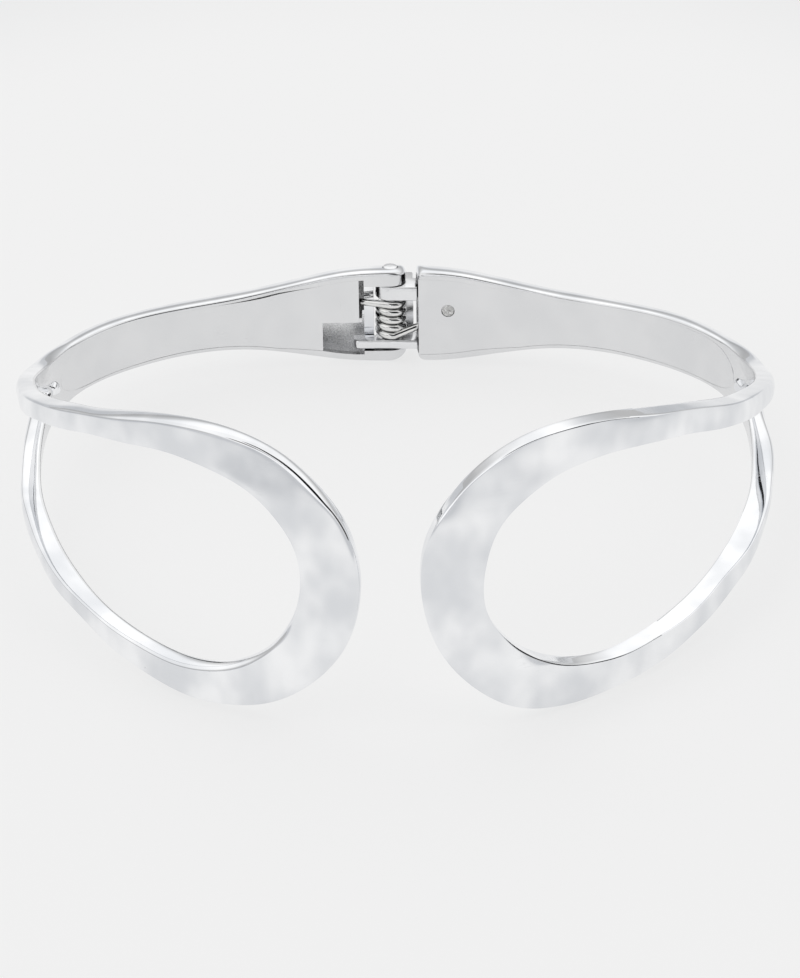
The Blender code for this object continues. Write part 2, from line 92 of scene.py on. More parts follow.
# The flat drawing of one half.
OUTLINE = [
    (0.0, 4.55), (4.8, 4.4), (9.5, 3.5), (13.9, 2.72), (18.5, 2.45), (25.0, 2.55), (31.0, 2.6), (36.5, 2.95),
    (42.5, 4.6), (49.0, 6.75), (55.0, 8.6), (60.0, 10.2), (65.0, 11.75), (70.5, 12.95), (75.5, 12.9),
    (79.6, 11.6), (82.9, 8.8), (85.3, 4.8), (86.2, 0.0),
]  # fmt: skip
OPENING = [
    (36.5, 0.0), (38.6, 1.35), (41.2, 2.6), (44.5, 3.75), (50.0, 5.15), (55.0, 6.65), (61.0, 8.4), (66.5, 9.45),
    (70.7, 9.7), (74.6, 9.0), (78.0, 7.0), (80.4, 3.8), (81.2, 0.0),
]  # fmt: skip
EDGE_THICKNESS = [
    (0, 0.9), (10, 0.8), (20, 0.8), (32, 0.95), (40, 1.5), (50, 1.8), (65, 1.7), (80, 1.45), (88, 1.3),
]  # fmt: skip
CROWN = [(0, 2.65), (10, 2.35), (20, 2.0), (32, 1.6), (40, 1.0), (50, 0.6), (65, 0.45), (80, 0.4), (88, 0.4)]
CROWN_REACH = 0.7
FLATNESS = [(42, 0.0), (56, 0.8)]
RIM_PLACES = [7.0, 11.0]

# The cage that the polished surface is subdivided from.
FORK_U = 32.0
ARM_STATIONS = 15
FORK_SEGMENTS = 10
LOOP_SEGMENTS = 72
FINER_EDGE = 0.6
CRISPER = {-1: 0.1, 1: 1.2}
BAND_SEGMENTS = 4
FORK_SHARE = 0.06
OPENING_POINTS = 400

# Where each kind of hand work sets in along u: start, and distance over which it grows to its full strength.
HAMMERING = (20.0, 20.0)
HINGE_HAMMERING = (3.0, 6.0)
WAVER = (FORK_U + 2.0, 6.0)
CREASE = (36.0, 18.0)
CENTRED = (0.0, 6.0)

# How hard each is done, and the seeds of its random waves.
ARM_HAMMERING = 0.35
INSIDE_HAMMERING = 0.3
HAMMERING_SINK = 0.65
INSIDE_CREASE = 0.2
WAVER_SIZE = 6.0
WAVER_SEED_OUTLINE = 11.0
WAVER_SEED_OPENING = 23.0
HAMMER_SEED_OUTSIDE = 5.0
HAMMER_SEED_INSIDE = 41.0

# The hinge.
PIN_X = -0.75
PIN_N = 1.45
PIN_Y = BACK_DEPTH + PIN_N
PIN_RADIUS = 0.65
PIN_HALF_LENGTH = 4.52
BORE_RADIUS = 0.72
EAR_BACK_DEPTH = 2.15
EAR_REACH = 1.42
END_ROUNDING = {-1: (1.3, 0.75), 1: (0.7, 0.4)}
EAR_TOP_UNDERSIDE = 3.1
EAR_BOTTOM_TOPSIDE = -3.4
RIGHT_END = 1.75
RIGHT_END_BACK = 1.4

# The hollow at the hinge end of each arm, and the plates that close it.
WALL_AT_HINGE = 0.75
WALL_ALONG_ARM = 0.4
BACK_WALL = 0.8
HOLLOW_END = 34.4
HOLLOW_ROUNDING = 5.0
BAY_END = 2.32
RIB_END = 3.15
RIB_DEPTH = 1.65
POCKET_END = 6.93
POCKET_TOP = -0.5
POCKET_MARGIN = 0.05
PARTITION = 0.45
END_HOLLOW = 9.0
PLATE_SINK = 0.006
PLATE_THICKNESS = 0.5
PLATE_GAP = 0.008
SPRUNG_SEAM = (12.0, 2.6, 0.16)
CHAMBER_STATIONS = 9
LEFT_PLATE_START = 3.6
RIGHT_PLATE_START = 1.8

# The solder bead in the fork of each arm.
BEAD_U = 35.7
BEAD_SIZE = (0.75, 0.55, 0.7)
BEAD_RISE = 0.3 * BEAD_SIZE[1]

# The tongue, the rivet and the spring.
FLANGE_TOP = (1.6, 3.0)
FLANGE_BOTTOM = (-3.3, -2.45)
TONGUE_FACE = 0.05
TONGUE_SHOULDER = 1.7
TANG_FACE = 0.75
TANG_BACK = 2.15
TANG_START = 2.4
TANG_END = 6.2
TANG_HALF_HEIGHT = 2.7
FLANGE_END = 3.4
WEB_X = (-0.8, 1.3)
WEB_N = (2.97, 3.4)
TAIL_REACH = 3.4
TAIL_N = (0.12, 1.45)
TAIL_CORNER = (0.3, 0.35)
RIVET_X = 4.48
RIVET_Z = 0.65
RIVET_RADIUS = 0.59
RIVET_HOLE_RADIUS = 0.6
RIVET_FACE = 0.04
RIVET_EDGE_DROP = 0.1
RIVET_STEPS = 16
WIRE_RADIUS = 0.34
COIL_RADIUS = 1.11
COIL_TOP = 1.12
COIL_BOTTOM = -2.05
COIL_TURNS = 4
COIL_STEPS = 40
LEG_SLANT = math.radians(15)
LEFT_LEG = 3.1
RIGHT_LEG = 2.5
RIGHT_LEG_RISE = 0.3
LEG_POINTS = 5
WIRE_SIDES = 20

# How far cutters reach past the metal, into it from the wrist side, and out of its back.
CLEAR = 12.0
INWARD = 2.0
OUTWARD = 6.0
BORE_REACH = 9.0
HOLE_REACH = 3.0
OVERLAP = 0.2
HAIR = 0.01

# The tilt of the bracelet on the table comes from the hinge's axis, and its place from the hinge's position.
TILT = math.atan2(JOINT["axis"][1], JOINT["axis"][2])
LEAN = Matrix.Rotation(-TILT, 4, "X")
HINGE_OFFSET = Vector(JOINT["pos_m"]) - LEAN @ (Vector((PIN_X, PIN_Y, 0)) * MM)
ON_TABLE = Matrix.Translation(HINGE_OFFSET) @ LEAN @ Matrix.Scale(MM, 4)
PIN_PLACE = Matrix.Translation((PIN_X, PIN_Y, 0))

# The tint of the plating's painted reflection blotches, and the heights over which the painted shade at the
# bottom of the hollows fades out.
PAINTED_REFLECTION_TINT = (1.0, 0.9, 0.75)
BOTTOM_SHADE_HEIGHTS = (-3.35, -2.9)

# The studio: table, camera, and how the room's plain tone rises from the level to overhead.
TABLE_SIZE = 6.0
# Painted light: the table's glow fades between these distances from the bracelet, in millimetres, to this
# dimmer tint.
TABLE_GLOW_PAINTED_FALLOFF = (74.0, 150.0)
TABLE_GLOW_PAINTED_FALLOFF_TINT = (0.6, 0.615, 0.64)
CAMERA_TARGET = (0.00036, -0.001, 0.0043)
SENSOR = 36.0
LENS = 169.3
NEAREST_SEEN = 0.01
SOFTBOX_PLACE = (-0.45, 0.5, 0.8)
SOFTBOX_SIZE = (0.5, 0.5)
SOFTBOX_POWER = 0.5
ROOM_RISE = (0.08, 0.42)
ROOM_TONES = (0.5, 1.02)

# Patches of the room that the metal mirrors: way, angle of the full tone, angle where it ends, and colour.
ROOM_PATCHES = [
    ((0.0, -1.0, 0.3), 16, 50, (1.05, 1.05, 1.06)),
    ((0.5, -0.62, 0.6), 23, 30, (0.008, 0.008, 0.01)),
    ((0.86, -0.46, 0.16), 10, 16, (0.01, 0.01, 0.012)),
    ((-0.37, -0.83, 0.42), 6, 12, (0.2, 0.19, 0.18)),
    ((0.02, -0.75, 0.66), 4, 8, (0.02, 0.02, 0.02)),
    ((0.05, -0.5, 0.86), 8, 14, (0.03, 0.03, 0.03)),
    ((0.0, 0.75, 0.66), 8, 30, (1.12, 1.12, 1.12)),
]


# ---------------------------------------------------------------- settings


class BraceletShape(bpy.types.PropertyGroup):
    """Sizes that change how the metal is worked, not how big the bracelet is."""

    hammer_depth: bpy.props.FloatProperty(
        name="Hammer depth", description="Height of the soft waves, in millimetres", default=0.45, min=0.0
    )
    hammer_size: bpy.props.FloatProperty(
        name="Hammer size", description="Distance between hammered waves, in millimetres", default=4.8, min=1.0
    )
    outline_waver: bpy.props.FloatProperty(
        name="Outline waver", description="How far finishing moves the outline, in millimetres", default=0.12
    )
    edge_crispness: bpy.props.FloatProperty(
        name="Edge crispness", description="Crease of the band's edges", default=0.45, min=0.0, max=1.0,
        subtype="FACTOR",
    )  # fmt: skip
    smoothness: bpy.props.IntProperty(
        name="Smoothness", description="Subdivision levels of the polished shells", default=3, min=1, max=4
    )


class BraceletFinish(bpy.types.PropertyGroup):
    """Colours and polish of the metals."""

    plating: bpy.props.FloatVectorProperty(
        name="Plating", description="Colour of the silver-tone plating", default=(0.87, 0.874, 0.882),
        subtype="COLOR",
    )  # fmt: skip
    polish: bpy.props.FloatProperty(
        name="Polish", description="Roughness of the polished plating", default=0.025, min=0.0, max=1.0,
        subtype="FACTOR",
    )  # fmt: skip
    wire: bpy.props.FloatVectorProperty(
        name="Wire", description="Colour of the spring wire", default=(0.8, 0.8, 0.79), subtype="COLOR"
    )


class BraceletStudio(bpy.types.PropertyGroup):
    """The table, light and camera."""

    table_colour: bpy.props.FloatVectorProperty(
        name="Table", description="Colour of the table", default=(0.2, 0.2, 0.2), subtype="COLOR"
    )
    table_painted_glow: bpy.props.FloatVectorProperty(
        name="Table glow", description="Light the table gives off", default=(0.7, 0.7, 0.7), subtype="COLOR"
    )
    ambient: bpy.props.FloatProperty(
        name="Ambient", description="Strength of the light all round", default=1.0, min=0.0
    )
    camera_elevation: bpy.props.FloatProperty(
        name="Elevation", description="Camera angle over the table", default=math.radians(38.9), subtype="ANGLE"
    )
    camera_azimuth: bpy.props.FloatProperty(
        name="Azimuth", description="Camera angle round from the front", default=math.radians(1.23),
        subtype="ANGLE",
    )  # fmt: skip
    camera_roll: bpy.props.FloatProperty(
        name="Roll", description="Camera roll", default=math.radians(-1.0), subtype="ANGLE"
    )
    camera_distance: bpy.props.FloatProperty(
        name="Distance", description="Camera distance from the bracelet's middle", default=0.4, unit="LENGTH"
    )


# ---------------------------------------------------------------- drawing the metal


def plan_table():
    """Arc length, position and outward normal along the right half of the inside oval, from back to front."""
    angle = np.linspace(0.0, math.pi, PLAN_STEPS)
    power = 2 / np.where(np.cos(angle) > 0, BACK_SQUARENESS, FRONT_SQUARENESS)
    depth = np.where(np.cos(angle) > 0, BACK_DEPTH, FRONT_DEPTH)
    x = INNER_HALF_WIDTH * np.abs(np.sin(angle)) ** power
    y = depth * np.sign(np.cos(angle)) * np.abs(np.cos(angle)) ** power
    length = np.concatenate([[0.0], np.cumsum(np.hypot(np.diff(x), np.diff(y)))])
    even = np.linspace(0.0, length[-1], PLAN_STEPS)
    x, y = np.interp(even, length, x), np.interp(even, length, y)
    tx, ty = np.gradient(x, even), np.gradient(y, even)
    size = np.hypot(tx, ty)
    return even, x, y, -ty / size, tx / size


PLAN_U, PLAN_X, PLAN_Y, PLAN_NX, PLAN_NY = plan_table()


def bend(u, n, z, side):
    """The place in the upright bracelet of a point of the flat drawing. side is 1 for right and -1 for left."""
    along, over = abs(u), math.copysign(1.0, u)
    x = np.interp(along, PLAN_U, PLAN_X) + n * np.interp(along, PLAN_U, PLAN_NX)
    y = np.interp(along, PLAN_U, PLAN_Y) + n * np.interp(along, PLAN_U, PLAN_NY)
    return Vector((side * over * x, y, z))


def smooth_curve(points, steps=16):
    """Points of a smooth curve through the given ones, which continues past both ends as their mirror."""
    knots = np.array(points, float)
    before = knots[1] * [-1, 1] if knots[0][1] else knots[1] * [1, -1]
    before = before + ([2 * knots[0][0], 0] if knots[0][1] else [0, 0])
    knots = np.vstack([before, knots, knots[-2] * [1, -1]])
    curve = []
    for a, b, c, d in zip(knots, knots[1:], knots[2:], knots[3:]):
        for t in np.linspace(0, 1, steps, endpoint=False):
            square, cube = 2 * a - 5 * b + 4 * c - d, 3 * b - a - 3 * c + d
            curve.append(0.5 * (2 * b + (c - a) * t + square * t**2 + cube * t**3))
    curve.append(knots[-2])
    return np.array(curve)


def even_points(curve, count):
    """count + 1 points evenly spaced along a curve."""
    length = np.concatenate([[0.0], np.cumsum(np.hypot(*np.diff(curve, axis=0).T))])
    even = np.linspace(0.0, length[-1], count + 1)
    return np.column_stack([np.interp(even, length, curve[:, k]) for k in (0, 1)])


OUTLINE_CURVE = smooth_curve(OUTLINE)
OPENING_CURVE = smooth_curve(OPENING)
TOP_OF_LOOP = int(np.argmax(OUTLINE_CURVE[:, 1]))


def half_height(u):
    """Half the height of an arm at u."""
    return float(np.interp(abs(u), OUTLINE_CURVE[:TOP_OF_LOOP, 0], OUTLINE_CURVE[:TOP_OF_LOOP, 1]))


def wall(u):
    """Thickness of the rim beside the plate at u."""
    return float(np.interp(u, RIM_PLACES, [WALL_AT_HINGE, WALL_ALONG_ARM]))


def distance(u, z, curve):
    """Distance from a point of the flat drawing to a curve of it."""
    a, b = curve[:-1], curve[1:]
    p = np.array([u, z])
    run = b - a
    share = np.clip(((p - a) * run).sum(1) / np.maximum((run**2).sum(1), 1e-12), 0, 1)
    return float(np.hypot(*(a + run * share[:, None] - p).T).min())


def thickness(u, z):
    """Metal thickness at a point of the flat drawing: thin at every edge, and rounded up between edges."""
    mirrored = [1, -1]
    edges = (OUTLINE_CURVE, OUTLINE_CURVE * mirrored, OPENING_CURVE, OPENING_CURVE * mirrored)
    gaps = [max(distance(abs(u), z, edge), 1e-4) for edge in edges]
    inset = 1 / (1 / gaps[0] + 1 / gaps[1] + 1 / min(gaps[2:]))
    edge = np.interp(abs(u), *zip(*EDGE_THICKNESS))
    flat = np.interp(abs(u), *zip(*FLATNESS))
    rise = flat + (1 - flat) * math.sqrt(math.tanh(inset / CROWN_REACH))
    return float(edge + np.interp(abs(u), *zip(*CROWN)) * rise)


def fade(value, start, span):
    """0 up to start, 1 from start + span on, and straight between."""
    return min(1.0, max(0.0, (value - start) / span))


def ripple(u, z, side, size, seed):
    """A soft random wave between about -1 and 1, different on each half."""
    return max(-1.0, min(1.0, 2.0 * noise.noise(Vector((u / size, z / size, seed + 3.7 * side)))))


# ---------------------------------------------------------------- mesh helpers


def new_object(name, bm, sharp=40.0, finishes=()):
    """An object in metres on the table, made from a bmesh in upright millimetres."""
    bmesh.ops.recalc_face_normals(bm, faces=bm.faces)
    mesh = bpy.data.meshes.new(name)
    bm.to_mesh(mesh)
    bm.free()
    for finish in finishes:
        mesh.materials.append(finish)
    mesh.transform(ON_TABLE)
    made = bpy.data.objects.new(name, mesh)
    bpy.context.scene.collection.objects.link(made)
    mesh.shade_smooth()
    mesh.set_sharp_from_angle(angle=math.radians(sharp))
    return made


def prism(outline, low, high):
    """A straight-sided solid in a bmesh: a plan outline in x and y, from z low to z high."""
    bm = bmesh.new()
    base = bm.faces.new([bm.verts.new((x, y, low)) for x, y in outline])
    grown = bmesh.ops.extrude_face_region(bm, geom=[base])
    top = [v for v in grown["geom"] if isinstance(v, bmesh.types.BMVert)]
    bmesh.ops.translate(bm, vec=(0, 0, high - low), verts=top)
    return bm


def block(x, y, z):
    """A box between two values on each axis, in a bmesh."""
    return prism([(x[0], y[0]), (x[1], y[0]), (x[1], y[1]), (x[0], y[1])], *z)


def rounded(bm, width, segments=4, sharper_than=25.0):
    """Rounds the corners of a bmesh solid."""
    bmesh.ops.recalc_face_normals(bm, faces=bm.faces)
    corners = [e for e in bm.edges if e.calc_face_angle(0.0) > math.radians(sharper_than)]
    bmesh.ops.bevel(
        bm, geom=corners, offset=width, segments=segments, affect="EDGES", profile=0.5, clamp_overlap=True
    )
    return bm


def turned(profile, place, segments=64):
    """A solid of revolution in a bmesh: (radius, height) points from axis to axis, turned about z."""
    bm = bmesh.new()
    line = [bm.verts.new((r, 0, h)) for r, h in profile]
    edges = [bm.edges.new(pair) for pair in zip(line, line[1:])]
    bmesh.ops.spin(
        bm, geom=line + edges, axis=(0, 0, 1), cent=(0, 0, 0), angle=2 * math.pi, steps=segments, use_merge=True
    )
    bmesh.ops.remove_doubles(bm, verts=bm.verts, dist=1e-4)
    bmesh.ops.transform(bm, matrix=place, verts=bm.verts)
    return bm


def drill(radius, reach, place):
    """A round cutter in a bmesh, as far each way from its place."""
    return turned([(0, -reach), (radius, -reach), (radius, reach), (0, reach)], place)


def applied(made):
    """The object with its modifiers turned into mesh."""
    bpy.context.view_layer.update()
    mesh = bpy.data.meshes.new_from_object(made.evaluated_get(bpy.context.evaluated_depsgraph_get()))
    made.modifiers.clear()
    made.data = mesh
    return made


def combine(made, operation, cutters, sharp=40.0, finish=None):
    """Cuts bmeshes out of an object, or joins them to it, each in turn. The cuts take the finish given."""
    for k, cutter in enumerate(cutters):
        tool = new_object(f"{made.name}_tool_{k}", cutter, finishes=[finish] if finish else [])
        change = made.modifiers.new(operation, "BOOLEAN")
        change.operation = operation
        change.solver = "EXACT"
        change.material_mode = "TRANSFER"
        change.object = tool
        applied(made)
        bpy.data.objects.remove(tool)
    made.data.shade_smooth()
    made.data.set_sharp_from_angle(angle=math.radians(sharp))
    return made


def softened(made, width, segments=3, angle=35.0):
    """Rounds an object's sharp edges by a width in millimetres, keeping its flat faces flat."""
    bevel = made.modifiers.new("soft edges", "BEVEL")
    bevel.width = width * MM
    bevel.segments = segments
    bevel.limit_method = "ANGLE"
    bevel.angle_limit = math.radians(angle)
    bevel.use_clamp_overlap = True
    bevel.harden_normals = False
    applied(made)
    made.data.shade_smooth()
    flat = made.modifiers.new("flat faces", "WEIGHTED_NORMAL")
    flat.keep_sharp = True
    return applied(made)


def finish_piece(piece, body, slot, material, *nodes):
    """Gives a piece its finish and its body, and hides the frame parts that it stands for.

    With no material it keeps the finishes it was built with, and with no body it is left unattached.
    """
    if material:
        piece.data.materials.clear()
        piece.data.materials.append(material)
    if body:
        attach(piece, body)
    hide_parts(*nodes)
    return piece


# ---------------------------------------------------------------- the shells


def flat_sheet(stations, side, shape):
    """The flat drawing of a half as a sheet of quads, with a slightly wavering outline."""
    half_fork = FORK_SEGMENTS // 2
    half_loop = LOOP_SEGMENTS // 2
    fork = [(FORK_U, half_height(FORK_U) * i / half_fork) for i in range(half_fork)]
    beyond = OUTLINE_CURVE[OUTLINE_CURVE[:, 0] > FORK_U]
    beyond = np.vstack([[FORK_U, half_height(FORK_U)], beyond])
    outer = np.vstack([fork, even_points(beyond, half_loop - half_fork)])
    near_fork = np.linspace(0, FORK_SHARE, half_fork + 1)
    share = np.concatenate([near_fork, np.linspace(FORK_SHARE, 1, half_loop - half_fork + 1)[1:]])
    fine = even_points(OPENING_CURVE, OPENING_POINTS)
    inner = fine[np.round(share * OPENING_POINTS).astype(int)]
    mirrored = [1, -1]
    outer = np.vstack([outer, (outer * mirrored)[-2:0:-1]])
    inner = np.vstack([inner, (inner * mirrored)[-2:0:-1]])
    across = [(1 - math.cos(math.pi * j / BAND_SEGMENTS)) / 2 for j in range(BAND_SEGMENTS + 1)]

    bm = bmesh.new()
    ring = []
    for q, p in zip(inner, outer):
        out = (p - q) / max(np.hypot(*(p - q)), 1e-6)
        waver = out * shape.outline_waver * fade(p[0], *WAVER)
        p = p + waver * ripple(*p, side, WAVER_SIZE, WAVER_SEED_OUTLINE)
        q = q + waver * ripple(*q, side, WAVER_SIZE, WAVER_SEED_OPENING)
        ring.append([bm.verts.new((*(q + (p - q) * w), 0)) for w in across])
    for here, there in zip(ring, ring[1:] + ring[:1]):
        for a, b, c, d in zip(here, here[1:], there[1:], there):
            bm.faces.new((a, b, c, d))
    order = list(range(-half_fork, half_fork + 1))
    row = [ring[i][-1] for i in order]
    for u in stations:
        past = 1 - fade(u, stations[-1], END_ROUNDING[side][0])
        height = half_height(u) - END_ROUNDING[side][1] * (1 - math.sqrt(1 - past**2))
        finer = fade(FORK_U - u, *CENTRED) * FINER_EDGE
        line = []
        for i in order:
            spread = i / half_fork * (1 - finer) + math.sin(math.pi / 2 * i / half_fork) * finer
            line.append(bm.verts.new((u, height * spread, 0)))
        for a, b, c, d in zip(row, row[1:], line[1:], line):
            bm.faces.new((a, b, c, d))
        row = line
    return bm


def inside_at_end(u, side):
    """Where the inside surface lies: it curves round the pin at the end of the left half's ears."""
    past = -PIN_X - u
    if side > 0 or past <= 0:
        return 0.0
    return PIN_N - PIN_N * math.sqrt(max(0.0, 1 - (past / EAR_REACH) ** 2))


def outside_at_end(u, high, side):
    """Where the outside surface lies, rounded off past the pin on the left half."""
    past = -PIN_X - u
    if side > 0 or past <= 0:
        return high
    return min(high, PIN_N + EAR_BACK_DEPTH * math.sqrt(max(0.0, 1 - (past / EAR_REACH) ** 2)))


def arm_stations(side):
    """Places along the arm from the fork to the hinge end, closer together where the end is rounded."""
    if side > 0:
        return [*np.linspace(FORK_U, RIGHT_END + 0.7, ARM_STATIONS + 1)[1:], RIGHT_END + 0.25, RIGHT_END]
    even = np.linspace(FORK_U, -PIN_X + 0.4, ARM_STATIONS + 1)[1:]
    rounding = [-PIN_X - EAR_REACH * math.sin(math.radians(a)) for a in (5, 27, 48, 66, 80, 90)]
    return [*even, *rounding]


def shell_blank(name, side, shape, finishes):
    """One half of polished metal with no hinge details. Its wrist side takes the second finish."""
    bm = flat_sheet(arm_stations(side), side, shape)
    inside = list(bm.verts)
    grown = bmesh.ops.extrude_face_region(bm, geom=bm.faces[:])
    outside = [v for v in grown["geom"] if isinstance(v, bmesh.types.BMVert)]
    drawn = {v: v.co.copy() for v in bm.verts}
    crease = bm.edges.layers.float.new("crease_edge")
    low_set, high_set = set(inside), set(outside)
    for face in bm.faces:
        face.material_index = int(all(v in low_set for v in face.verts))
    for edge in bm.edges:
        a, b = edge.verts
        walls = [f for f in edge.link_faces if low_set.intersection(f.verts) and high_set.intersection(f.verts)]
        if len(walls) != 1:
            continue
        least = INSIDE_CREASE if a in low_set else 0.0
        strength = least + (1 - least) * fade(drawn[a].x, *CREASE)
        edge[crease] = shape.edge_crispness * CRISPER[side] * strength
    for v in inside:
        u, z, _ = drawn[v]
        lift = 0.5 + 0.5 * ripple(u, z, side, shape.hammer_size, HAMMER_SEED_INSIDE)
        wave = INSIDE_HAMMERING * shape.hammer_depth * fade(u, *HAMMERING) * lift
        v.co = bend(u, inside_at_end(u, side) + wave, z, side)
    for v in outside:
        u, z, _ = drawn[v]
        calm = ARM_HAMMERING + (1 - ARM_HAMMERING) * fade(u, *HAMMERING)
        lift = 0.5 * ripple(u, z, side, shape.hammer_size, HAMMER_SEED_OUTSIDE) - HAMMERING_SINK
        wave = shape.hammer_depth * calm * fade(u, *HINGE_HAMMERING) * lift
        at = RIGHT_END_BACK if side > 0 and u <= RIGHT_END else u
        v.co = bend(at, outside_at_end(u, thickness(u, z), side) + wave, z, side)
    made = new_object(name, bm, finishes=finishes)
    smooth = made.modifiers.new("polished surface", "SUBSURF")
    smooth.levels = smooth.render_levels = shape.smoothness
    return applied(made)


def hollow_height(u):
    """Half the height of the recess for a plate, which ends in a round near the fork."""
    past = max(0.0, (u - (HOLLOW_END - HOLLOW_ROUNDING)) / HOLLOW_ROUNDING)
    return (half_height(u) - wall(u)) * math.sqrt(max(0.0, 1 - past**2))


def along_arm(start, step=0.5):
    """Places along the arm for a plate or its recess, closer together at the round end."""
    end = HOLLOW_END - HOLLOW_ROUNDING
    straight = np.linspace(start, end, int((end - start) / step))
    rounding = [HOLLOW_END - HOLLOW_ROUNDING * (1 - math.sin(math.pi / 2 * k / 14)) for k in range(1, 14)]
    return [*straight, *rounding]


def strip(stations, section, side):
    """A solid along the arm in a bmesh: section(u) gives its (n, z) corners at each station."""
    bm = bmesh.new()
    rings = [[bm.verts.new(bend(u, n, z, side)) for n, z in section(u)] for u in stations]
    for here, there in zip(rings, rings[1:]):
        for i in range(len(here)):
            k = (i + 1) % len(here)
            bm.faces.new((here[i], here[k], there[k], there[i]))
    bm.faces.new(rings[0])
    bm.faces.new(rings[-1])
    return bm


def plate_recess(start, side):
    """The recess that an inside plate lies in."""
    back = PLATE_SINK + PLATE_THICKNESS + PLATE_GAP

    def section(u):
        top = hollow_height(u)
        return [(-1.0, -top), (-1.0, top), (back, top), (back, -top)]

    return strip(along_arm(start), section, side)


def chamber(u, z, side):
    """A square-cornered chamber at the hinge end of an arm."""

    def section(place):
        low = max(z[0], -half_height(place) + wall(place) + 0.02)
        high = min(z[1], half_height(place) - wall(place) - 0.02)
        back = thickness(place, 0) - BACK_WALL
        return [(-1.0, low), (back, low), (back, high), (-1.0, high)]

    return strip(np.linspace(*u, CHAMBER_STATIONS), section, side)


def bead(side):
    """A bead of solder in the corner where the arm forks."""
    bm = bmesh.new()
    bmesh.ops.create_icosphere(bm, subdivisions=3, radius=1.0)
    middle = bend(BEAD_U, BEAD_RISE, 0, side)
    along = bend(BEAD_U + 1, BEAD_RISE, 0, side) - middle
    for v in bm.verts:
        v.co *= 1 + 0.35 * noise.noise(v.co * 1.3 + Vector((side * 4.0, 0, 0)))
        v.co = Vector(size * c for size, c in zip(BEAD_SIZE, v.co))
    turn = Matrix.Rotation(math.atan2(along.y, along.x), 4, "Z")
    bmesh.ops.transform(bm, matrix=Matrix.Translation(middle) @ turn, verts=bm.verts)
    return bm


def left_shell(shape, finishes, cast, pocket):
    """The left half: loop, arm, and the two ears that hold the pin."""
    made = shell_blank("shell_left", -1, shape, finishes)
    start = BACK_DEPTH - INWARD
    between_ears = (EAR_BOTTOM_TOPSIDE, EAR_TOP_UNDERSIDE)
    rib_front = block((-RIB_END - OVERLAP, -BAY_END + OVERLAP), (start, BACK_DEPTH + RIB_DEPTH), between_ears)
    combine(made, "DIFFERENCE", [rib_front], finish=finishes[0])
    combine(made, "UNION", [bead(-1)], finish=finishes[0])
    # The lower chamber's faces take the pocket metal, whose bottom is painted shadow.
    lower_chamber = chamber((RIB_END, POCKET_END), (-CLEAR, POCKET_TOP + POCKET_MARGIN), -1)
    combine(made, "DIFFERENCE", [lower_chamber], finish=pocket)
    cutters = [
        block((-BAY_END, CLEAR), (start, BACK_DEPTH + OUTWARD), between_ears),
        plate_recess(LEFT_PLATE_START - PLATE_GAP, -1),
        chamber((RIB_END, POCKET_END), (POCKET_TOP + PARTITION, CLEAR), -1),
        drill(BORE_RADIUS, BORE_REACH, PIN_PLACE),
    ]
    return combine(made, "DIFFERENCE", cutters, finish=cast)


def right_shell(shape, finishes, cast):
    """The right half: loop and arm, open at the hinge end for the tongue."""
    made = shell_blank("shell_right", 1, shape, finishes)
    combine(made, "UNION", [bead(1)], finish=finishes[0])
    cutters = [
        chamber((RIGHT_END_BACK - 1.0, END_HOLLOW), (-CLEAR, CLEAR), 1),
        plate_recess(RIGHT_PLATE_START - 1.0, 1),
    ]
    return combine(made, "DIFFERENCE", cutters, finish=cast)


# ---------------------------------------------------------------- plates and hinge


def inside_plate(name, start, side):
    """The plate that closes an arm on the wrist side."""

    def section(u):
        top = max(hollow_height(u) - PLATE_GAP, 0.05)
        low = -top
        if side < 0:
            top -= SPRUNG_SEAM[2] * math.exp(-(((u - SPRUNG_SEAM[0]) / SPRUNG_SEAM[1]) ** 2))
        front, back = PLATE_SINK, PLATE_SINK + PLATE_THICKNESS
        return [(front, low), (front, 0), (front, top), (back, top), (back, low)]

    return new_object(name, strip(along_arm(start), section, side))


def left_plate():
    """The left plate, with the notch where the tongue's tail swings out."""
    made = inside_plate("inside_plate_left", LEFT_PLATE_START, -1)
    through = (BACK_DEPTH - HOLE_REACH, BACK_DEPTH + HOLE_REACH)
    notch = block((-POCKET_END, 0), through, (-BORE_REACH, POCKET_TOP))
    return softened(combine(made, "DIFFERENCE", [notch]), HAIR)


def right_plate():
    """The right plate, with the rivet's hole."""
    made = inside_plate("inside_plate_right", RIGHT_PLATE_START, 1)
    hole = drill(RIVET_HOLE_RADIUS, HOLE_REACH, rivet_place())
    return softened(combine(made, "DIFFERENCE", [hole]), HAIR)


def rivet_place():
    """The rivet's axis: its own z points outward from the wrist, and starts at the inside surface."""
    start = bend(RIVET_X, 0, RIVET_Z, 1)
    outward = bend(RIVET_X, 1, RIVET_Z, 1) - start
    return Matrix.Translation(start) @ outward.to_track_quat("Z", "Y").to_matrix().to_4x4()


def around_pin(first, last, radius, count):
    """Plan points on an arc round the pin, angles in degrees."""
    angles = [math.radians(first + (last - first) * i / count) for i in range(count + 1)]
    return [(PIN_X + radius * math.cos(a), PIN_Y + radius * math.sin(a)) for a in angles]


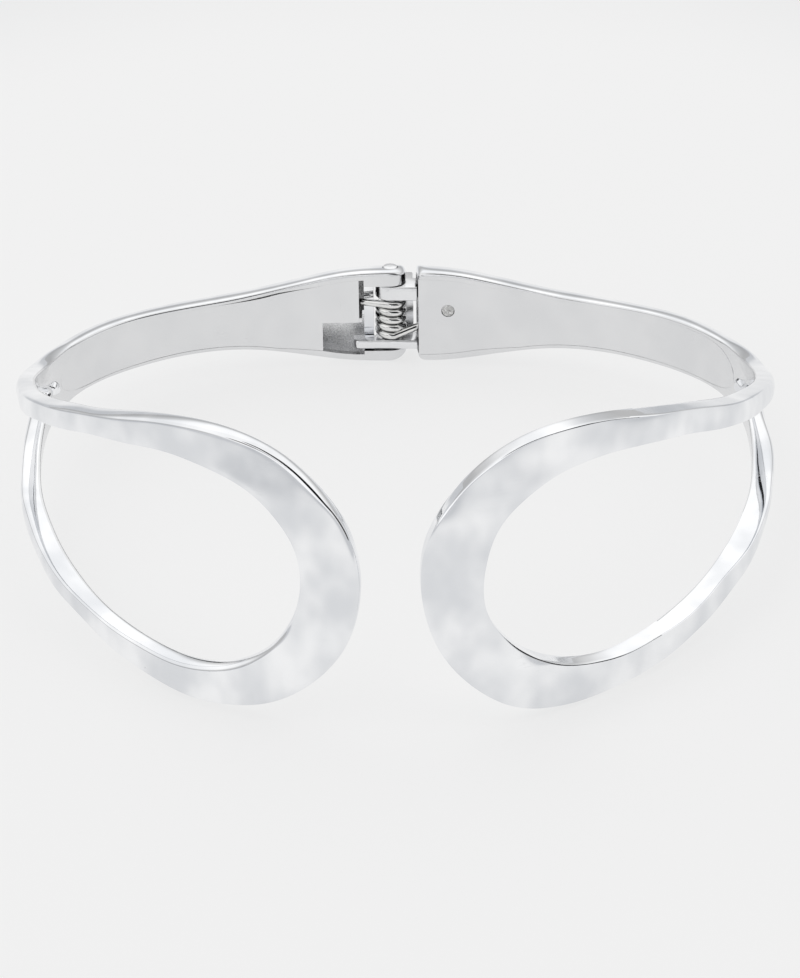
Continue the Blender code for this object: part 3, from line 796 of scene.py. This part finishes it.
def tongue():
    """The knuckle that turns on the pin: two flanges, a web behind the spring and a tang in the right arm."""
    face, shoulder = BACK_DEPTH + TONGUE_FACE, BACK_DEPTH + TANG_FACE
    tang_back, web_back = BACK_DEPTH + TANG_BACK, BACK_DEPTH + WEB_N[1]
    arm_side = [
        (WEB_X[0], web_back), (WEB_X[1], web_back), (WEB_X[1], tang_back), (FLANGE_END, tang_back),
        (FLANGE_END, shoulder), (TONGUE_SHOULDER, shoulder), (TONGUE_SHOULDER, face),
    ]  # fmt: skip
    nose_radius = PIN_N - TONGUE_FACE
    top_flange = rounded(prism([*arm_side, *around_pin(270, 90, nose_radius, 24)], *FLANGE_TOP), 0.2)
    made = new_object("tongue", top_flange)
    tail_face, tail_back = BACK_DEPTH + TAIL_N[0], BACK_DEPTH + TAIL_N[1]
    tail_end = PIN_X - TAIL_REACH
    tail = [
        (PIN_X, tail_face), (tail_end + TAIL_CORNER[0], tail_face), (tail_end, tail_face + TAIL_CORNER[1]),
        (tail_end, tail_back),
    ]  # fmt: skip
    middle = (FLANGE_BOTTOM[1] - OVERLAP, FLANGE_TOP[0] + OVERLAP)
    joined = [
        block((TANG_START, TANG_END), (shoulder, tang_back), (-TANG_HALF_HEIGHT, TANG_HALF_HEIGHT)),
        rounded(prism([*arm_side, *tail, *around_pin(180, 90, nose_radius, 12)], *FLANGE_BOTTOM), 0.3),
        block((WEB_X[0] + HAIR, WEB_X[1] - HAIR), (BACK_DEPTH + WEB_N[0], web_back - HAIR), middle),
    ]
    combine(made, "UNION", joined)
    return combine(made, "DIFFERENCE", [drill(BORE_RADIUS, BORE_REACH, PIN_PLACE)], sharp=50)


def hinge_pin():
    """The hinge pin, its ends flattened to a low dome."""
    end = PIN_HALF_LENGTH
    half = [
        (PIN_RADIUS, end - 0.12), (PIN_RADIUS * 0.96, end - 0.06), (PIN_RADIUS * 0.85, end - 0.02), (0.25, end),
        (0, end),
    ]  # fmt: skip
    profile = [(r, -h) for r, h in reversed(half)] + half
    return new_object("pin", turned(profile, PIN_PLACE), sharp=60)


def rivet():
    """The rivet's set end: a small uneven disc, pitted by the punch."""
    rings = []
    for share in [k / RIVET_STEPS for k in range(RIVET_STEPS + 1)]:
        rings.append((RIVET_RADIUS * math.sin(math.pi / 2 * share), RIVET_FACE + RIVET_EDGE_DROP * share**6))
    profile = [*rings, (RIVET_RADIUS, PLATE_SINK + PLATE_THICKNESS), (0, PLATE_SINK + PLATE_THICKNESS)]
    bm = turned(profile, Matrix(), 72)
    for v in bm.verts:
        if v.co.z < 0.3:
            rough = noise.noise(v.co * 5.0) * 0.09 + noise.noise(v.co * 11.0) * 0.05
            v.co.z += rough * max(0.0, 1 - (v.co.xy.length / RIVET_RADIUS) ** 4)
    bmesh.ops.transform(bm, matrix=rivet_place(), verts=bm.verts)
    return new_object("rivet", bm, sharp=70)


def spring_path():
    """The spring wire's middle line: left leg, turns down the pin, right leg."""

    def on_coil(angle, height):
        return Vector((PIN_X + COIL_RADIUS * math.cos(angle), PIN_Y + COIL_RADIUS * math.sin(angle), height))

    first = -math.pi / 2 - LEG_SLANT
    sweep = 2 * math.pi * COIL_TURNS + 2 * LEG_SLANT
    steps = COIL_TURNS * COIL_STEPS
    drop = COIL_BOTTOM - COIL_TOP
    coil = [on_coil(first + sweep * i / steps, COIL_TOP + drop * i / steps) for i in range(steps + 1)]
    away_left = Vector((-math.cos(LEG_SLANT), math.sin(LEG_SLANT), 0))
    away_right = Vector((math.cos(LEG_SLANT), math.sin(LEG_SLANT), RIGHT_LEG_RISE))
    left = [coil[0] + away_left * LEFT_LEG * k / LEG_POINTS for k in range(LEG_POINTS, 0, -1)]
    right = [coil[-1] + away_right * RIGHT_LEG * k / LEG_POINTS for k in range(1, LEG_POINTS + 1)]
    return left + coil + right


def spring():
    """The torsion spring, a round wire swept along its path, with rounded cut ends."""
    route = spring_path()
    last = len(route) - 1
    bm = bmesh.new()
    rings = []
    for i, place in enumerate(route):
        ahead = (route[min(i + 1, last)] - route[max(i - 1, 0)]).normalized()
        side = ahead.cross(Vector((0, 0, 1))).normalized()
        up = side.cross(ahead)
        radius = WIRE_RADIUS * (0.85 if i in (0, last) else 1.0)
        turn = [2 * math.pi * k / WIRE_SIDES for k in range(WIRE_SIDES)]
        rings.append([bm.verts.new(place + radius * (side * math.cos(a) + up * math.sin(a))) for a in turn])
    for here, there in zip(rings, rings[1:]):
        for k in range(WIRE_SIDES):
            bm.faces.new((here[k - 1], here[k], there[k], there[k - 1]))
    bm.faces.new(rings[0])
    bm.faces.new(rings[-1])
    return new_object("spring", bm, sharp=50)


# ---------------------------------------------------------------- finishes


class Field:
    """A socket in a node tree being made. Arithmetic on it adds the Math nodes."""

    def __init__(self, nodes, socket):
        self.nodes, self.socket = nodes, socket

    def _math(self, operation, *values):
        return self.nodes.add("ShaderNodeMath", {"operation": operation}, dict(enumerate(values)))

    def __add__(self, other):
        return self._math("ADD", self, other)

    __radd__ = __add__

    def __sub__(self, other):
        return self._math("SUBTRACT", self, other)

    def __rsub__(self, other):
        return self._math("SUBTRACT", other, self)

    def __mul__(self, other):
        return self._math("MULTIPLY", self, other)

    __rmul__ = __mul__

    def __abs__(self):
        return self._math("ABSOLUTE", self)

    def ramp(self, low, high):
        """0 below low, 1 above high, and smooth between."""
        ends = {0: self, 1: low, 2: high, 3: 0.0, 4: 1.0}
        return self.nodes.add("ShaderNodeMapRange", {"interpolation_type": "SMOOTHSTEP"}, ends)


class Nodes:
    """A node tree built up node by node."""

    def __init__(self, owner):
        owner.use_nodes = True
        self.tree = owner.node_tree

    def add(self, kind, settings=None, inputs=None, output=0):
        """Adds a node with its settings, then its inputs, and gives one of its outputs."""
        node = self.tree.nodes.new(kind)
        for key, value in (settings or {}).items():
            setattr(node, key, value)
        for key, value in (inputs or {}).items():
            self.feed(node.inputs[key], value)
        return Field(self, node.outputs[output])

    def feed(self, socket, value):
        """Sets a socket to a number or colour, or links a field to it."""
        if isinstance(value, Field):
            self.tree.links.new(value.socket, socket)
        elif socket.type == "RGBA":
            socket.default_value = (*value, 1.0)
        else:
            socket.default_value = value

    def blend(self, factor, first, second):
        """A colour between two others."""
        inputs = {"Factor": factor, 6: first, 7: second}
        return self.add("ShaderNodeMix", {"data_type": "RGBA"}, inputs, output=2)


class Finish(Nodes):
    """A material built up node by node."""

    def __init__(self, name):
        self.material = bpy.data.materials.new(name)
        super().__init__(self.material)
        self.shader = self.tree.nodes["Principled BSDF"]

    def set(self, **sockets):
        """Sets or links the shader's own sockets, named with _ for a space."""
        for key, value in sockets.items():
            self.feed(self.shader.inputs[key.replace("_", " ").title().replace("Ior", "IOR")], value)
        return self

    def place(self, stretch=(1.0, 1.0, 1.0)):
        """The point on the upright bracelet in millimetres, stretched along each axis."""
        at = self.add("ShaderNodeTexCoord", output="Object")
        lean = self.add("ShaderNodeMapping", {}, {"Vector": at, "Rotation": (TILT, 0, 0)})
        return self.add("ShaderNodeMapping", {}, {"Vector": lean, "Scale": tuple(s / MM for s in stretch)})

    def noise(self, size, detail=2.0, stretch=(1.0, 1.0, 1.0), roughness=0.5):
        """Cloudy noise whose lumps are about size millimetres across."""
        inputs = {"Vector": self.place(stretch), "Scale": 1 / size, "Detail": detail, "Roughness": roughness}
        return self.add("ShaderNodeTexNoise", {}, inputs)

    def bump(self, height, depth, under=None):
        """A normal that follows a height, depth millimetres from 0 to 1."""
        inputs = {"Height": height, "Distance": depth * MM, "Strength": 1.0}
        if under:
            inputs["Normal"] = under
        return self.add("ShaderNodeBump", {}, inputs)


def hairlines(finish, stretch, size=0.6, width=0.02):
    """Fine scattered scratches that run across the stretched axis."""
    lines = finish.noise(size, 2.0, stretch, 0.6)
    return 1 - abs(lines - 0.5).ramp(0.0, width)


def pits(finish, spacing, size):
    """Sparse pinholes of casting and plating."""
    cells = finish.add("ShaderNodeTexVoronoi", {}, {"Vector": finish.place(), "Scale": 1 / spacing})
    rare = finish.noise(spacing * 2.3, 0.0).ramp(0.56, 0.6)
    return (1 - cells.ramp(size * 0.5 / spacing, size / spacing)) * rare


def plating(name, colour, polish, haze=0.035, brushed=0.0, pitted=0.08, painted_blotch_depth=0.03):
    """Polished silver-tone plating with faint haze, hairline scratches, brushing and pinholes, and painted
    reflection blotches in its colour.
    """
    finish = Finish(name)
    cloud = finish.noise(7.0, 4.0, roughness=0.6).ramp(0.35, 0.75)
    smear = finish.noise(1.6, 3.0, (1.0, 1.0, 2.5)).ramp(0.45, 0.8)
    scratch = hairlines(finish, (0.08, 0.08, 2.2)) * finish.noise(3.0, 1.0).ramp(0.5, 0.62)
    cross = hairlines(finish, (1.6, 1.6, 0.1)) * finish.noise(4.0, 1.0).ramp(0.55, 0.66)
    pinholes = pits(finish, 3.1, pitted)
    # Painted reflection: soft lumps of bluish-grey and brighter colour stand in for the room mirrored in the
    # hammered metal.
    lumps = finish.noise(4.2, 2.0, (1.0, 1.0, 0.75)).ramp(0.27, 0.73)
    reflected_light_tone = tuple(min(1.0, c * (1 + painted_blotch_depth)) for c in colour)
    reflected_dark_tone = tuple(c * (1 - painted_blotch_depth * fall) for c, fall in zip(colour, PAINTED_REFLECTION_TINT))
    roughness = polish + haze * cloud + haze * 0.6 * smear + 0.1 * scratch + 0.1 * cross + 0.4 * pinholes
    peel = finish.noise(0.9, 1.0)
    skin = finish.bump(peel, 0.0018)
    if brushed:
        grain = finish.noise(0.09, 2.0, (0.03, 0.03, 1.0), 0.7)
        skin = finish.bump(grain, brushed, skin)
        roughness = roughness + 0.12 * grain
    skin = finish.bump(1 - (scratch + cross) * 0.5, 0.0012, skin)
    skin = finish.bump(1 - pinholes, 0.02, skin)
    colouring = finish.blend(lumps - 0.4 * pinholes, reflected_dark_tone, reflected_light_tone)
    finish.set(base_color=colouring, metallic=1.0, roughness=roughness, normal=skin)
    return finish.material


def wrist_side(look):
    """The plating of the wrist side, a little softer than the outside, and coloured darker as painted shade."""
    made = bpy.data.materials.get("inside_plating")
    return made or plating("inside_plating", tuple(c * 0.88 for c in look.plating), 0.08, brushed=0.0006)


def hollow_metal_painted_shade(name, colour, bottom_shade_colour):
    """Grainy, unpolished plating inside the hollows, its colour darkening towards the bottom as painted shade.
    """
    finish = Finish(name)
    grain = finish.noise(0.12, 3.0, roughness=0.7)
    height = finish.add("ShaderNodeSeparateXYZ", {}, {0: finish.place()}, output=2)
    # Painted shade: below these heights the colour blends to the darker one.
    above_bottom_shade = (height + 0.5 * grain).ramp(*BOTTOM_SHADE_HEIGHTS)
    colouring = finish.blend(above_bottom_shade, bottom_shade_colour, colour)
    skin = finish.bump(grain, 0.03)
    finish.set(base_color=colouring, metallic=1.0, roughness=0.12 + 0.3 * grain, normal=skin)
    return finish.material


def drawn_wire(name, colour):
    """Drawn spring wire: fine lines round the coil, and darker drawing oil between them."""
    finish = Finish(name)
    lines = finish.noise(0.06, 2.0, (0.08, 0.08, 1.0), 0.7)
    stain = finish.noise(0.8, 3.0).ramp(0.45, 0.75)
    worn = finish.blend(stain, colour, tuple(c * 0.8 for c in colour))
    roughness = 0.05 + 0.06 * lines + 0.08 * stain
    finish.set(base_color=worn, metallic=1.0, roughness=roughness, normal=finish.bump(lines, 0.003))
    return finish.material


def punched_rivet(name, colour):
    """The rivet's end, crushed and glittering."""
    finish = Finish(name)
    grit = finish.noise(0.16, 4.0, roughness=0.75)
    crushed = finish.add("ShaderNodeTexVoronoi", {"feature": "F1"}, {"Vector": finish.place(), "Scale": 6.0})
    darker = finish.blend(grit.ramp(0.35, 0.6), tuple(c * 0.55 for c in colour), colour)
    skin = finish.bump(crushed, 0.08, finish.bump(grit, 0.06))
    finish.set(base_color=darker, metallic=1.0, roughness=0.22 + 0.25 * grit, normal=skin)
    return finish.material


def pale_table(name, colour, glow):
    """A plain matt table with a glow of painted light that fills its shadows, fading to a dimmer, bluish glow
    far from the bracelet.
    """
    finish = Finish(name)
    tooth = finish.noise(0.8, 3.0)
    tone = finish.blend(finish.noise(60.0, 2.0), colour, tuple(c * 0.985 for c in colour))
    away = finish.add("ShaderNodeVectorMath", {"operation": "LENGTH"}, {0: finish.place()}, output=1)
    glow_with_painted_falloff = finish.blend(away.ramp(*TABLE_GLOW_PAINTED_FALLOFF), glow, tuple(c * t for c, t in zip(glow, TABLE_GLOW_PAINTED_FALLOFF_TINT)))
    finish.set(base_color=tone, roughness=0.9, normal=finish.bump(tooth, 0.004))
    finish.set(specular_ior_level=0.15, emission_color=glow_with_painted_falloff, emission_strength=1.0)
    return finish.material


# ---------------------------------------------------------------- operators


class BRACELET_OT_shells(bpy.types.Operator):
    """Build the two polished halves"""

    bl_idname = "bracelet.shells"
    bl_label = "Shells"

    def execute(self, context):
        shape, look = context.scene.bracelet_shape, context.scene.bracelet_finish
        finishes = [plating("hammered_plating", look.plating, look.polish, painted_blotch_depth=0.13), wrist_side(look)]
        # The hollows' metal is coloured darker than the plating as painted shade of the recesses, and the
        # pocket's bottom nearly black as painted shadow.
        cast = hollow_metal_painted_shade("cast_metal_painted_shade", [c * 0.62 for c in look.plating], [c * 0.5 for c in look.plating])
        pocket = hollow_metal_painted_shade("pocket_metal_painted_shadow", [c * 0.98 for c in look.plating], [c * 0.14 for c in look.plating])
        finish_piece(left_shell(shape, finishes, cast, pocket), LEFT, "polished_plating", None, "left_shell")
        finish_piece(right_shell(shape, finishes, cast), RIGHT, "polished_plating", None, "right_shell")
        return {"FINISHED"}


class BRACELET_OT_inside_plates(bpy.types.Operator):
    """Build the plates that close the arms on the wrist side"""

    bl_idname = "bracelet.inside_plates"
    bl_label = "Inside plates"

    def execute(self, context):
        look = context.scene.bracelet_finish
        plated = wrist_side(look)
        finish_piece(left_plate(), LEFT, "plate_plating", plated, "left_inner_plate")
        finish_piece(right_plate(), RIGHT, "plate_plating", plated, "right_inner_plate")
        return {"FINISHED"}


class BRACELET_OT_hinge(bpy.types.Operator):
    """Build the tongue, the pin and the rivet"""

    bl_idname = "bracelet.hinge"
    bl_label = "Hinge"

    def execute(self, context):
        look = context.scene.bracelet_finish
        greyer = tuple(c * 0.96 for c in look.plating)
        stamped = plating("tongue_plating", greyer, 0.1, brushed=0.002, pitted=0.05)
        head = plating("pin_plating", look.plating, 0.09, brushed=0.001)
        crushed = punched_rivet("rivet_metal", (0.9, 0.9, 0.89))
        finish_piece(tongue(), RIGHT, "tongue_plating", stamped, "hinge_tongue")
        finish_piece(hinge_pin(), LEFT, "pin_plating", head, "hinge_pin")
        finish_piece(rivet(), RIGHT, "rivet_metal", crushed, "tang_rivet")
        return {"FINISHED"}


class BRACELET_OT_spring(bpy.types.Operator):
    """Build the torsion spring, a still wire attached to neither half"""

    bl_idname = "bracelet.spring"
    bl_label = "Spring"

    def execute(self, context):
        wire = drawn_wire("spring_wire", context.scene.bracelet_finish.wire)
        piece = finish_piece(spring(), None, "spring_wire", wire, "torsion_spring")
        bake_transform(piece)
        return {"FINISHED"}


class BRACELET_OT_studio(bpy.types.Operator):
    """Set out the table, the lights and the camera"""

    bl_idname = "bracelet.studio"
    bl_label = "Studio"

    def execute(self, context):
        studio = context.scene.bracelet_studio
        lay_table(studio)
        light_room(context.scene, studio)
        softbox("key_softbox", SOFTBOX_PLACE, SOFTBOX_SIZE, SOFTBOX_POWER)
        aim_camera(context.scene, studio)
        return {"FINISHED"}


def lay_table(studio):
    """A wide plain table."""
    bm = bmesh.new()
    bmesh.ops.create_grid(bm, x_segments=4, y_segments=4, size=TABLE_SIZE / 2)
    mesh = bpy.data.meshes.new("table")
    bm.to_mesh(mesh)
    bm.free()
    table = bpy.data.objects.new("table", mesh)
    bpy.context.scene.collection.objects.link(table)
    mesh.materials.append(pale_table("pale_table", studio.table_colour, studio.table_painted_glow))


def softbox(name, place, size, power):
    """A large soft lamp turned to the bracelet, which isn't itself seen."""
    lamp = bpy.data.lights.new(name, "AREA")
    lamp.shape = "RECTANGLE"
    lamp.size, lamp.size_y = size
    lamp.energy = power
    made = bpy.data.objects.new(name, lamp)
    made.location = place
    made.rotation_euler = (-Vector(place)).to_track_quat("-Z", "Y").to_euler()
    made.visible_camera = made.visible_glossy = False
    bpy.context.scene.collection.objects.link(made)


def light_room(scene, studio):
    """A pale room, greyer in front and brighter behind, with dark patches beside and at the camera."""
    world = bpy.data.worlds.new("pale_room")
    scene.world = world
    room = Nodes(world)
    look = room.add("ShaderNodeTexCoord", output="Generated")
    height = room.add("ShaderNodeSeparateXYZ", {}, {0: look}, output="Z")
    rise = dict(enumerate((height, *ROOM_RISE, *ROOM_TONES)))
    tone = room.add("ShaderNodeMapRange", {}, rise)
    for way, core, edge, colour in ROOM_PATCHES:
        toward = {0: look, 1: Vector(way).normalized()}
        near = room.add("ShaderNodeVectorMath", {"operation": "DOT_PRODUCT"}, toward, output="Value")
        inside = near.ramp(math.cos(math.radians(edge)), math.cos(math.radians(core)))
        tone = room.blend(inside, tone, colour)
    ground = room.tree.nodes["Background"]
    room.feed(ground.inputs["Color"], tone)
    room.feed(ground.inputs["Strength"], studio.ambient)


def aim_camera(scene, studio):
    """The camera, in front of the bracelet and above it."""
    down = studio.camera_elevation
    ahead = Matrix.Rotation(studio.camera_azimuth, 3, "Z") @ Vector((0, math.cos(down), -math.sin(down)))
    right = ahead.cross(Vector((0, 0, 1))).normalized()
    above = right.cross(ahead)
    roll = studio.camera_roll
    right, above = (
        right * math.cos(roll) + above * math.sin(roll),
        above * math.cos(roll) - right * math.sin(roll),
    )
    lens = bpy.data.cameras.new("camera")
    lens.sensor_width = SENSOR
    lens.lens = LENS
    lens.clip_start = NEAREST_SEEN
    camera = bpy.data.objects.new("camera", lens)
    scene.collection.objects.link(camera)
    turn = Matrix((right, above, -ahead)).transposed().to_4x4()
    camera.matrix_world = Matrix.Translation(Vector(CAMERA_TARGET) - ahead * studio.camera_distance) @ turn
    scene.camera = camera
    scene.view_settings.view_transform = "Standard"


class BRACELET_PT_sidebar(bpy.types.Panel):
    """Buttons and settings of the bracelet, in the sidebar"""

    bl_idname = "BRACELET_PT_sidebar"
    bl_label = "Bracelet"
    bl_space_type = "VIEW_3D"
    bl_region_type = "UI"
    bl_category = "Bracelet"

    def draw(self, context):
        layout = self.layout
        scene = context.scene
        for group in (scene.bracelet_shape, scene.bracelet_finish, scene.bracelet_studio):
            box = layout.box()
            for name in group.bl_rna.properties.keys():
                if name not in ("rna_type", "name"):
                    box.prop(group, name)
        for kind in OPERATORS:
            layout.operator(kind.bl_idname)


OPERATORS = (
    BRACELET_OT_studio, BRACELET_OT_shells, BRACELET_OT_inside_plates, BRACELET_OT_hinge, BRACELET_OT_spring,
)  # fmt: skip
CLASSES = (BraceletShape, BraceletFinish, BraceletStudio, *OPERATORS, BRACELET_PT_sidebar)


def register():
    """Adds the classes and the settings to Blender."""
    for kind in CLASSES:
        bpy.utils.register_class(kind)
    bpy.types.Scene.bracelet_shape = bpy.props.PointerProperty(type=BraceletShape)
    bpy.types.Scene.bracelet_finish = bpy.props.PointerProperty(type=BraceletFinish)
    bpy.types.Scene.bracelet_studio = bpy.props.PointerProperty(type=BraceletStudio)


def unregister():
    """Takes the settings and the classes away again."""
    del bpy.types.Scene.bracelet_studio, bpy.types.Scene.bracelet_finish, bpy.types.Scene.bracelet_shape
    for kind in reversed(CLASSES):
        bpy.utils.unregister_class(kind)


def main():
    """Builds everything in order."""
    register()
    bpy.ops.bracelet.studio()
    bpy.ops.bracelet.shells()
    bpy.ops.bracelet.inside_plates()
    bpy.ops.bracelet.hinge()
    bpy.ops.bracelet.spring()


if __name__ == "__main__":
    main()
